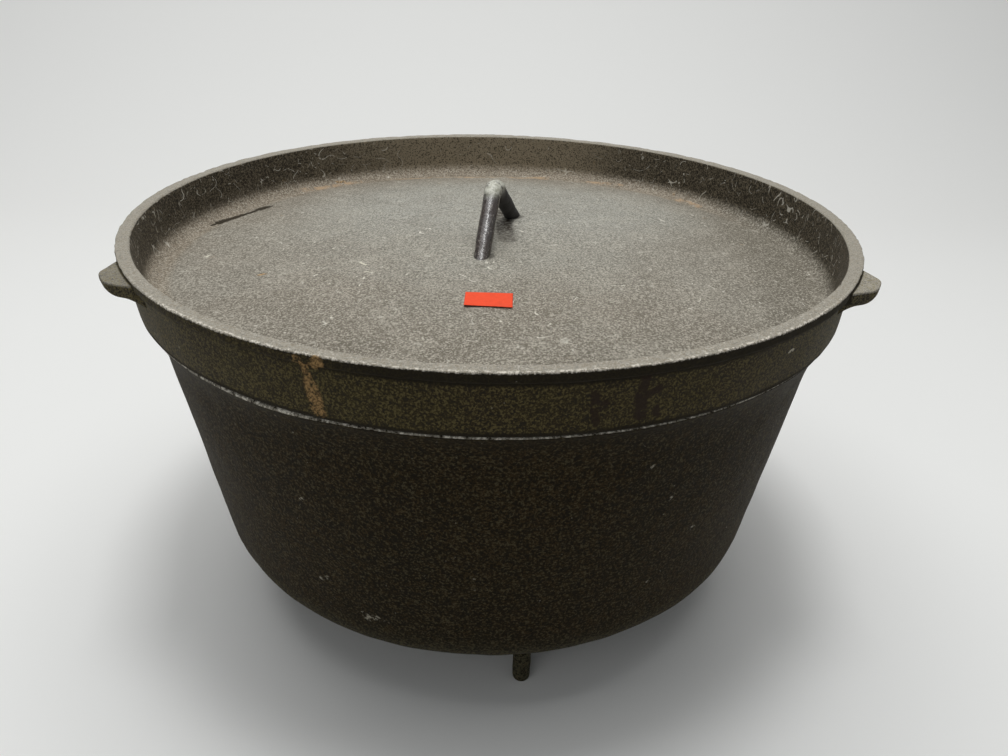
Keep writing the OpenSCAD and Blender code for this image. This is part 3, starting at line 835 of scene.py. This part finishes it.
def lug_shell(lid, direction, seed):
    """One lug: upright sections at steps across it, each a closed loop out under the lug, round its nose and back.

    The reach of a section is a smooth least of the tip line and the sloping side line. The underside is
    low - fall (1 - t)^2, with t from the root to one thickness behind the tip, and rises round the nose as
    low + R (1 - sqrt(1 - q^2)), with q from 0 to 1 over the last R.
    """
    top = lid.lip_height - lid.lug_drop
    tip = lid.lip_radius + lid.lug_reach
    root = lid.lip_radius - lid.lip_out - 0.67 * lid.wall
    low = top - lid.lug_thin
    fall = lid.lug_deep - lid.lug_thin
    run = tip - lid.lug_thin - root
    nose_r = lid.lug_thin - 1.0 * MM
    edge = 0.8 * MM
    lip_x = math.sqrt(lid.lip_radius ** 2 - (lid.lug_root / 2) ** 2)
    spread = (lid.lug_root - lid.lug_tip) / 2 / (tip - lip_x)
    y = (lid.lug_root / 2 + 3.0 * MM) * np.linspace(-1, 1, 71)
    side = tip - (np.abs(y) - lid.lug_tip / 2) / spread
    k = 2.4 * MM
    h = np.clip(0.5 + 0.5 * (side - tip) / k, 0, 1)
    reach = side * (1 - h) + tip * h - k * h * (1 - h)
    start = np.sqrt(root ** 2 - y ** 2)
    reach = np.maximum(reach, start + 1.0 * MM)[:, None]
    start, y = start[:, None], y[:, None]

    def under(x):
        r = np.hypot(x, y)
        t = np.clip((r - root) / run, 0, 1)
        q = np.clip((r - tip + nose_r) / nose_r, 0, 0.98)
        return low - fall * (1 - t) ** 2 + nose_r * (1 - np.sqrt(1 - q ** 2))

    x0 = start + (reach - edge - start) * np.linspace(0, 1, 18)[None]
    part_low = np.stack([x0, under(x0)], -1)
    z_low = under(reach - edge)
    blunt = np.clip((np.hypot(reach, y) - tip + nose_r) / nose_r, 0, 1)
    power = 0.4 + 0.6 * blunt
    middle = (top + z_low) / 2 * (1 - blunt) + (top - 1.0 * MM) * blunt
    a = np.linspace(0, 0.5 * np.pi, 8)[None]
    lower = np.stack([reach - edge + edge * np.sin(a) ** power, middle - (middle - z_low) * np.cos(a) ** power], -1)
    upper = np.stack([reach - edge + edge * np.cos(a) ** 0.5, middle + (top - middle) * np.sin(a) ** 0.5], -1)
    part_top = np.stack([x0[:, ::-1], np.full_like(x0, top)], -1)
    loop = np.concatenate([part_low, lower[:, 1:], upper[:, 1:-1], part_top], 1)
    c, s = math.cos(direction), math.sin(direction)
    grid = np.stack([c * loop[..., 0] - s * y, s * loop[..., 0] + c * y, loop[..., 1]], -1)
    grid[..., 2] += 0.12 * MM * waves(grid, 0.010, seed)
    return closed(grid, grid[0].mean(0), grid[-1].mean(0))


def leg_line(handle):
    """Half the span, the bend's height, a leg's lean and its length up to the bend that it touches."""
    half = handle.span / 2
    rise = handle.height - handle.bar - handle.bend
    far = math.hypot(half, rise)
    return half, rise, math.atan2(rise, half) + math.asin(handle.bend / far), math.sqrt(far ** 2 - handle.bend ** 2)


def handle_feet(handle, crown):
    """Marks in mm where the two legs enter the plate."""
    half = leg_line(handle)[0]
    out = []
    for p in (-half, half):
        x = handle.right - math.sin(handle.rotation) * p
        y = handle.rear + math.cos(handle.rotation) * p
        here = np.array([x, y, crown]) / MM
        out.append((tuple(here), tuple(here + (1.6, -0.6, 0)), 9.4))
    return out


def boss_shells(handle, crown, plate):
    """The two upright bosses under the plate: an outline with a rounded foot and drafted side, spun."""
    half, _, lean, _ = leg_line(handle)
    run = handle.socket * math.cos(lean)
    low = crown - handle.socket * math.sin(lean) - handle.bar_end * math.cos(lean) - handle.skin
    radius = run / 2 + handle.bar_end + handle.skin
    high = crown - plate / 2
    outline = spaced(rounded([
        (0.3 * MM, low, 0), (radius, low, 1.2 * MM), (radius + 1.6 * MM, crown - plate - MM, 2.0 * MM),
        (radius + 4.0 * MM, high, 0), (0.3 * MM, high, 0)]), lambda r, z: 1.5 * MM)
    shells = []
    for p in (-half - run / 2, half + run / 2):
        x = handle.right - math.sin(handle.rotation) * p
        y = handle.rear + math.cos(handle.rotation) * p
        shells.append(closed(spun(outline, 64, (x, y)), (x, y, low), (x, y, high)))
    return shells


class CAMPOVEN_OT_lid(bpy.types.Operator):
    """Lid: outline from under the plate over ring, seat, band and lip, down the inner wall and over the dome, spun"""
    bl_idname = "campoven.lid"
    bl_label = "Lid"

    def execute(self, context):
        s = context.scene.camp_oven_lid
        handle = context.scene.camp_oven_handle
        seat = s.lip_height - s.flange
        band_top = s.lip_radius - s.lip_out
        lip_low = s.lip_height - s.lip_deep
        band_foot = band_top - (lip_low - seat) * math.tan(s.band_lean)
        lip_in = band_top - s.wall
        edge = lip_in - (s.flange - s.edge) * math.tan(s.inner_lean)
        crown = seat + s.edge + s.rise
        big = (edge ** 2 + s.rise ** 2) / (2 * s.rise)
        ring_in = s.ring_radius - s.ring_wall

        def dome(r):
            return crown - big + math.sqrt(big ** 2 - r * r)

        under = [(r, dome(r) - s.plate, 0) for r in np.linspace(0.6 * MM, ring_in, 14)[:-1]]
        over = [(r, dome(r), 0) for r in np.linspace(edge, 0.6 * MM, 14)[1:]]
        outline = rounded([
            *under, (ring_in, dome(ring_in) - s.plate, 0.8 * MM), (ring_in, seat - s.ring_deep, 1.0 * MM),
            (s.ring_radius, seat - s.ring_deep, 1.0 * MM), (s.ring_radius, seat, 0.8 * MM),
            (band_foot, seat, 1.7 * MM), (band_top, lip_low, 0.8 * MM),
            (s.lip_radius, lip_low, 1.2 * MM), (s.lip_radius, s.lip_height, 0.6 * MM),
            (lip_in, s.lip_height, 1.2 * MM), (edge, seat + s.edge, s.valley), *over])

        def spacing(r, z):
            if z < dome(min(r, edge)) - 2 * MM and r < ring_in:
                return 8.0 * MM
            return (1.2 if r > 0.150 else 2.6) * MM

        outline = spaced(outline, spacing)
        grid = spun(outline, 380)
        r, z = outline[:, :1], outline[:, 1:]
        lip = np.clip((z - lip_low + 0.4 * MM) / (0.8 * MM), 0, 1) * np.clip((r - lip_in + MM) / MM, 0, 1)
        edges = lip * np.clip((r - s.lip_radius + 1.6 * MM) / MM, 0, 1)
        at_seat = np.clip((seat + 1.5 * MM - z) / MM, 0, 1) * np.clip((r - ring_in) / MM, 0, 1)
        field = s.uneven * (0.6 * waves(grid, 0.055, 7) + 0.35 * waves(grid, 0.014, 8))
        nicks = np.clip(waves(grid, 0.0050, 9) - 1.0, 0, 1.2) + 0.5 * np.clip(waves(grid, 0.013, 10) - 1.1, 0, 1)
        field = field * (1 - 0.7 * lip) * (1 - at_seat) - s.chips * lip * nicks
        field = field + 0.25 * s.chips * edges * waves(grid, 0.0036, 11)
        grid = push(grid, outline, field)
        shells = [closed(grid, (0, 0, crown - s.plate), (0, 0, crown))]
        for seed in range(3):
            shells.append(lug_shell(s, s.lug_turn + math.radians(120 * seed), 30 + seed))
        shells += boss_shells(handle, crown, s.plate)
        piece = joined("lid_casting", shells)
        wear(piece, lid_iron(context.scene.camp_oven_colours, s, handle), "lid", "lid_iron", "lid")
        return {"FINISHED"}


class CAMPOVEN_OT_handle(bpy.types.Operator):
    """Handle: a tube up one leg, round the bend and down the other, its radius swelling to the bend, with pits"""
    bl_idname = "campoven.handle"
    bl_label = "Handle"

    def execute(self, context):
        s = context.scene.camp_oven_handle
        lid = context.scene.camp_oven_lid
        half, rise, lean, leg = leg_line(s)
        crown = lid.lip_height - lid.flange + lid.edge + lid.rise
        u = np.linspace(-s.socket, leg, 70)[:-1]
        left = np.stack([-half + u * math.cos(lean), u * math.sin(lean)], 1)
        a = np.linspace(math.pi / 2 + lean, math.pi / 2 - lean, 34)
        arc = np.stack([s.bend * np.cos(a), rise + s.bend * np.sin(a)], 1)
        right = left[::-1] * [-1, 1]
        p, q = np.concatenate([left, arc, right]).T
        c, d = math.cos(s.rotation), math.sin(s.rotation)
        sideways = -q * math.sin(s.tip)
        centres = np.stack([s.right + c * sideways - d * p, s.rear + d * sideways + c * p,
                            crown + q * math.cos(s.tip)], 1)
        across = np.array([c * math.cos(s.tip), d * math.cos(s.tip), math.sin(s.tip)])
        swell = np.clip(q / (rise + s.bend), 0, 1)[:, None]
        columns = 44
        turns = np.arange(columns) * 2 * np.pi / columns
        ring = np.stack([np.cos(turns), np.sin(turns), 0.5 * np.cos(turns)], 1)
        spots = centres[:, None] + s.bar * ring[None]
        hammered = 0.6 * waves(spots, 0.010, 12) - 0.7 * np.clip(waves(spots, 0.0035, 13) - 0.9, 0, 1.5)
        free = np.clip(q / (3 * MM), 0, 1)[:, None]
        radii = s.bar_end + (s.bar - s.bar_end) * swell + free * s.pits * hammered
        piece = tube("handle_bar", centres, across, radii)
        wear(piece, bar_iron(context.scene.camp_oven_colours), "lid", "bar_iron", "lid_handle")
        return {"FINISHED"}


class CAMPOVEN_OT_label(bpy.types.Operator):
    """Label: a sheet on the dome's slope, whose front edge lifts as the square of the distance past its fold"""
    bl_idname = "campoven.label"
    bl_label = "Price label"

    def execute(self, context):
        s = context.scene.camp_oven_label
        centre = (LABEL_LOW + LABEL_HIGH) / 2
        u = np.linspace(-0.5, 0.5, 34)[None] * s.width
        v = np.linspace(-0.5, 0.5, 26)[:, None] * s.depth
        slope = (LABEL_HIGH.z - LABEL_LOW.z - 0.2 * MM) / (LABEL_HIGH.y - LABEL_LOW.y)
        curl = np.clip((-v - 0.15 * s.depth) / (0.35 * s.depth), 0, 1) ** 2
        left_most = np.clip(0.5 - u / s.width, 0, 1)
        z = centre.z + slope * v + s.lift * curl * (0.25 + 0.75 * left_most) + 0.02 * MM
        z = z + 0.05 * MM * np.sin(u / (3.5 * MM)) * curl
        c, d = math.cos(s.rotation), math.sin(s.rotation)
        grid = np.stack([centre.x + c * u - d * v, centre.y + d * u + c * v, z], -1)
        piece = new_piece("label_paper", grid.reshape(-1, 3), grid_faces(26, 34, False))
        thick = piece.modifiers.new("Paper", "SOLIDIFY")
        thick.thickness = s.paper
        thick.offset = 0.0
        wear(piece, label_paper(context.scene.camp_oven_colours), "lid", "label", "price_label")
        return {"FINISHED"}


class CAMPOVEN_OT_stage(bpy.types.Operator):
    """Stage: a pale floor that sweeps up behind, soft lamps and the camera at the photograph's angle"""
    bl_idname = "campoven.stage"
    bl_label = "Stage"

    def execute(self, context):
        s = context.scene.camp_oven_stage
        scene = context.scene
        sweep = rounded([(-2.5, 0, 0), (1.3, 0, 0.7), (1.3, 2.6, 0)], 24)
        y, z = np.repeat(sweep[:, :1], 2, 1), np.repeat(sweep[:, 1:], 2, 1)
        grid = np.stack([np.broadcast_to((-3.0, 3.0), y.shape), y, z], -1)
        floor = new_piece("floor", grid.reshape(-1, 3), grid_faces(len(sweep), 2, False))
        floor.data.materials.append(stage_paint(s))
        scene.world = studio_air(s)
        for name, power, size, place in (("top lamp", s.top_light, 2.1, (-0.1, 0.42, 1.7)),
                                         ("small lamp", s.small_light, 0.3, (0.02, -0.1, 1.45)),
                                         ("fill lamp", s.fill_light, 1.0, (-0.6, -1.3, 0.8))):
            data = bpy.data.lights.new(name, "AREA")
            data.energy, data.size = power, size
            lamp = bpy.data.objects.new(name, data)
            scene.collection.objects.link(lamp)
            lamp.location = place
            back = np.array(place) - (0, 0, 0.1)
            back /= np.linalg.norm(back)
            lamp.rotation_euler = (math.acos(back[2]), 0, math.atan2(back[0], -back[1]))
        data = bpy.data.cameras.new("camera")
        data.lens, data.sensor_width, data.sensor_fit = s.lens, 36.0, "HORIZONTAL"
        data.clip_start, data.clip_end = 0.01, 20.0
        camera = bpy.data.objects.new("camera", data)
        scene.collection.objects.link(camera)
        place_camera(camera)
        scene.camera = camera
        scene.view_settings.view_transform = "Standard"
        return {"FINISHED"}


def place_camera(camera):
    """Camera from its distance and height, its pan and pitch, and its roll about the line of sight."""
    distance, height = 0.39876, 0.31193
    pan, pitch, roll = 0.0191009, 0.4887689, 0.0274034
    ahead = np.array([math.sin(pan) * math.cos(pitch), math.cos(pan) * math.cos(pitch), -math.sin(pitch)])
    right = np.array([math.cos(pan), -math.sin(pan), 0.0])
    up = np.cross(right, ahead)
    right, up = (math.cos(roll) * right + math.sin(roll) * up,
                 -math.sin(roll) * right + math.cos(roll) * up)
    turned = Matrix([list(right), list(up), list(-ahead)]).transposed()
    camera.matrix_world = Matrix.Translation((0.0, -distance, height)) @ turned.to_4x4()


class CAMPOVEN_PT_panel(bpy.types.Panel):
    """Lists the steps in the 3D view's sidebar"""
    bl_idname = "CAMPOVEN_PT_panel"
    bl_label = "Camp Oven"
    bl_space_type = "VIEW_3D"
    bl_region_type = "UI"
    bl_category = "Camp Oven"

    def draw(self, context):
        for step in STEPS:
            self.layout.operator(step.bl_idname)
        for name in GROUPS:
            box = self.layout.box()
            for prop in getattr(context.scene, name).bl_rna.properties:
                if prop.identifier not in ("rna_type", "name"):
                    box.prop(getattr(context.scene, name), prop.identifier)


STEPS = (CAMPOVEN_OT_stage, CAMPOVEN_OT_pot, CAMPOVEN_OT_feet, CAMPOVEN_OT_lid, CAMPOVEN_OT_handle,
         CAMPOVEN_OT_label)
GROUPS = {
    "camp_oven_pot": CampOvenPot,
    "camp_oven_lid": CampOvenLid,
    "camp_oven_handle": CampOvenHandle,
    "camp_oven_label": CampOvenLabel,
    "camp_oven_colours": CampOvenColours,
    "camp_oven_stage": CampOvenStage,
}


def register():
    for group in GROUPS.values():
        bpy.utils.register_class(group)
    for name, group in GROUPS.items():
        setattr(bpy.types.Scene, name, PointerProperty(type=group))
    for step in STEPS:
        bpy.utils.register_class(step)
    bpy.utils.register_class(CAMPOVEN_PT_panel)


def unregister():
    bpy.utils.unregister_class(CAMPOVEN_PT_panel)
    for step in reversed(STEPS):
        bpy.utils.unregister_class(step)
    for name, group in GROUPS.items():
        delattr(bpy.types.Scene, name)
        bpy.utils.unregister_class(group)


def main():
    register()
    bpy.ops.campoven.stage()
    bpy.ops.campoven.pot()
    bpy.ops.campoven.feet()
    bpy.ops.campoven.lid()
    bpy.ops.campoven.handle()
    bpy.ops.campoven.label()


if __name__ == "__main__":
    main()
